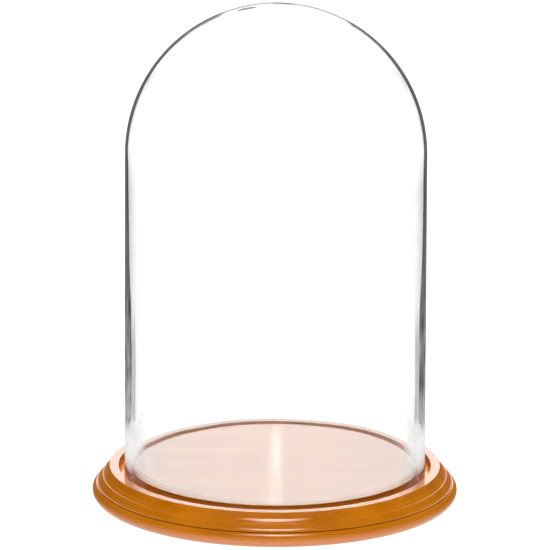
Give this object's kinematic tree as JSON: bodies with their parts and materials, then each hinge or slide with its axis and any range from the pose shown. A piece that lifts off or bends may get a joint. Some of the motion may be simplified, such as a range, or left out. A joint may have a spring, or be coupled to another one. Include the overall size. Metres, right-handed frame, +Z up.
{
  "type": "bell jar dome",
  "caption": "Tall clear glass bell jar with a straight wall and a hemispherical crown, standing in a ring groove in a round turned wooden display base. The dome lifts straight off.",
  "frame": {"origin": "centre of the base's footprint, on the surface that the felt pads stand on", "axes": "+Z up along the axis that the dome and the base share; +X along the grain of the base; +Y away from the viewer"},
  "size_m": [0.2464, 0.2464, 0.3436],
  "materials": {
    "clear_glass": "clear, fire-polished",
    "varnished_wood": "honey stain under gloss varnish",
    "brown_felt": "matte felt"
  },
  "bodies": {
    "base": {"turned_base": "varnished_wood", "felt_pad_1": "brown_felt", "felt_pad_2": "brown_felt", "felt_pad_3": "brown_felt", "felt_pad_4": "brown_felt"},
    "dome": {"glass_dome": "clear_glass"}
  },
  "joints": [
    {"name": "dome_lift", "type": "slide", "parent": "base", "child": "dome", "axis": [0, 0, 1], "range_m": [0, 0.33]}
  ]
}
